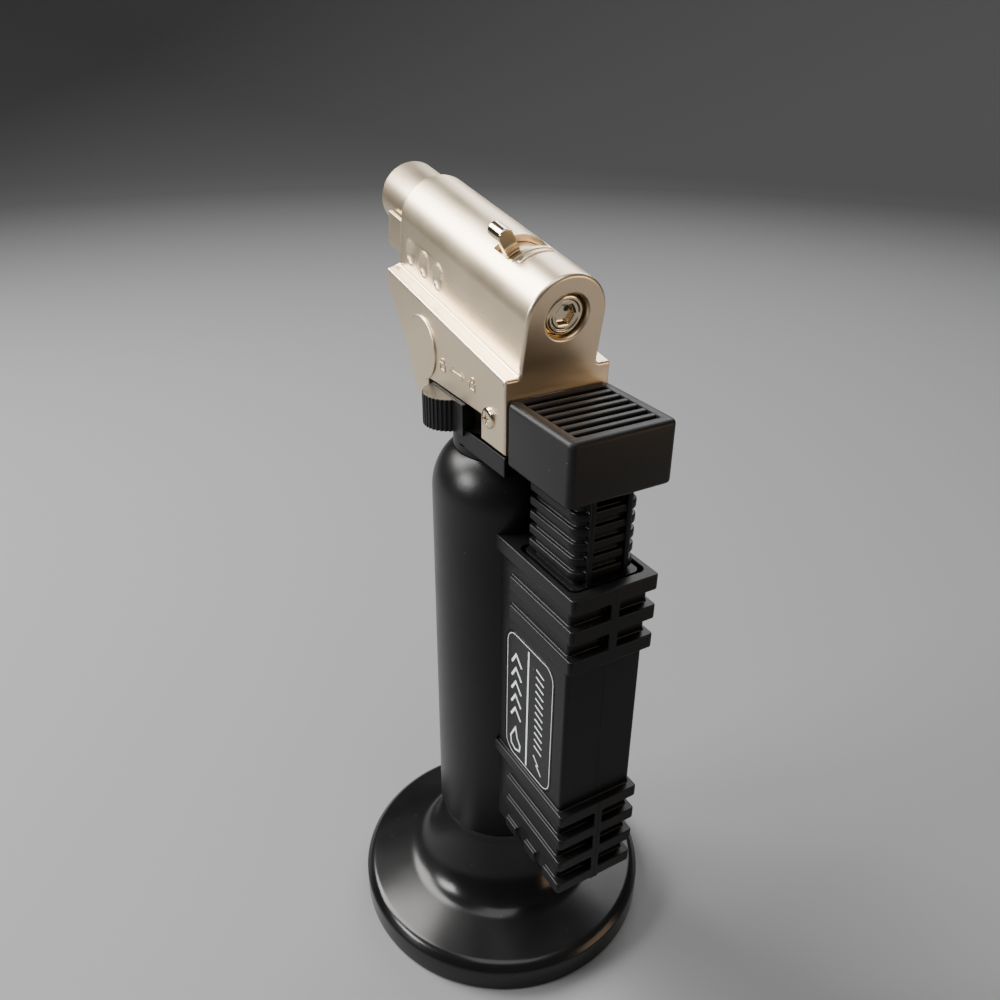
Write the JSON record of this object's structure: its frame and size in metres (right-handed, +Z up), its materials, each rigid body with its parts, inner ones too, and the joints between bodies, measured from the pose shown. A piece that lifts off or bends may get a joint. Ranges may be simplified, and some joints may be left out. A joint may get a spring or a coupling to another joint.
{
  "type": "butane torch",
  "caption": "Bench butane torch: fuel tank in a round stand, tilted burner head, air lever, lock slider and a push-down piezo trigger in a ribbed side handle.",
  "frame": {"origin": "centre of the stand's underside, on the tank's axis, in the plane the torch rests on", "axes": "+X out of the nozzle (level part of its direction), +Y to the torch's left, +Z up along the tank"},
  "size_m": [0.0824, 0.071, 0.1744],
  "materials": {
    "stand_plastic": "moulded black, satin gloss",
    "foot_plastic": "moulded black",
    "plain_steel": "plain steel",
    "tank_paint": "satin black enamel with a fine sparkle",
    "brass": "turned brass",
    "spring_steel": "spring wire",
    "seal_rubber": "nitrile",
    "wick_fibre": "spun fibre",
    "collar_plastic": "moulded black, satin",
    "control_plastic": "moulded black, satin",
    "tube_plastic": "milky tube",
    "satin_nickel": "warm satin nickel plate",
    "bright_nickel": "bright nickel plate",
    "white_ceramic": "white ceramic",
    "lead_rubber": "black silicone insulation",
    "trigger_plastic": "moulded dark grey-black, matte",
    "post_plastic": "moulded black, semi-matte",
    "piezo_shell": "moulded ivory",
    "piezo_button": "moulded blue",
    "handle_plastic": "moulded black, satin",
    "label_film": "black printed film"
  },
  "bodies": {
    "stand": {"stand_base": "stand_plastic"},
    "torch": {"tank_foot": "foot_plastic", "tank_bottom_disc": "plain_steel", "fuel_tank": "tank_paint", "refill_valve_body": "brass", "refill_spring": "spring_steel", "refill_seal": "seal_rubber", "fuel_wick": "wick_fibre", "neck_gasket": "seal_rubber", "neck_collar": "collar_plastic", "valve_body": "brass", "valve_seal": "seal_rubber", "valve_spring": "spring_steel", "rocker_pin": "plain_steel", "gas_tube": "tube_plastic", "jet_holder": "brass", "jet_orifice": "brass", "mixing_tube": "plain_steel", "burner_tube": "satin_nickel", "flame_holder": "plain_steel", "burner_guard": "satin_nickel", "electrode_insulator": "white_ceramic", "electrode_wire": "spring_steel", "ignition_lead": "lead_rubber", "head_shell_left": "satin_nickel", "head_shell_right": "satin_nickel", "rear_plug": "bright_nickel", "leg_screws": "bright_nickel", "clamp_screw": "bright_nickel", "trigger_spring": "spring_steel", "piezo_case": "piezo_shell", "piezo_contact": "brass", "handle_shell_left": "handle_plastic", "handle_shell_right": "handle_plastic", "handle_screws": "plain_steel", "side_label": "label_film"},
    "trigger": {"trigger_button": "trigger_plastic", "trigger_post": "post_plastic", "piezo_plunger": "piezo_button"},
    "rocker": {"valve_rocker": "plain_steel"},
    "stem": {"valve_stem": "brass"},
    "flow": {"flow_lever": "control_plastic"},
    "air": {"air_sleeve": "satin_nickel", "air_lever": "bright_nickel"},
    "lock": {"lock_slider": "control_plastic"},
    "refill": {"refill_stem": "brass"}
  },
  "joints": [
    {"name": "stand_lift", "type": "slide", "parent": "stand", "child": "torch", "axis": [0, 0, 1], "range_m": [0, 0.012]},
    {"name": "trigger_press", "type": "slide", "parent": "torch", "child": "trigger", "axis": [0, 0, -1], "range_m": [0, 0.0045], "stiffness_N_per_m": 2500, "springref_m": -0.0015, "deforming": ["trigger_spring"]},
    {"name": "rocker_tilt", "type": "hinge", "parent": "torch", "child": "rocker", "pos_m": [-0.006, 0, 0.134], "axis": [0, -1, 0], "range_deg": [0, 9.02]},
    {"name": "stem_lift", "type": "slide", "parent": "torch", "child": "stem", "axis": [0, 0, 1], "range_m": [0, 0.0012], "deforming": ["valve_spring"]},
    {"name": "flow_turn", "type": "hinge", "parent": "torch", "child": "flow", "pos_m": [0, 0, 0.129], "axis": [0, 0, 1], "range_deg": [-27, 27]},
    {"name": "air_turn", "type": "hinge", "parent": "torch", "child": "air", "pos_m": [-0.01965, 0, 0.15627], "axis": [0.9833, 0, 0.1822], "range_deg": [0, 57]},
    {"name": "lock_slide", "type": "slide", "parent": "torch", "child": "lock", "axis": [-1, 0, 0], "range_m": [0, 0.0058]},
    {"name": "refill_push", "type": "slide", "parent": "torch", "child": "refill", "axis": [0, 0, 1], "range_m": [0, 0.0012], "stiffness_N_per_m": 800, "springref_m": -0.001, "deforming": ["refill_spring"]}
  ],
  "couplings": [
    {"joint": "rocker_tilt", "follows": "trigger_press", "rad_per_m": 34.907},
    {"joint": "stem_lift", "follows": "trigger_press", "ratio": 0.25556}
  ]
}
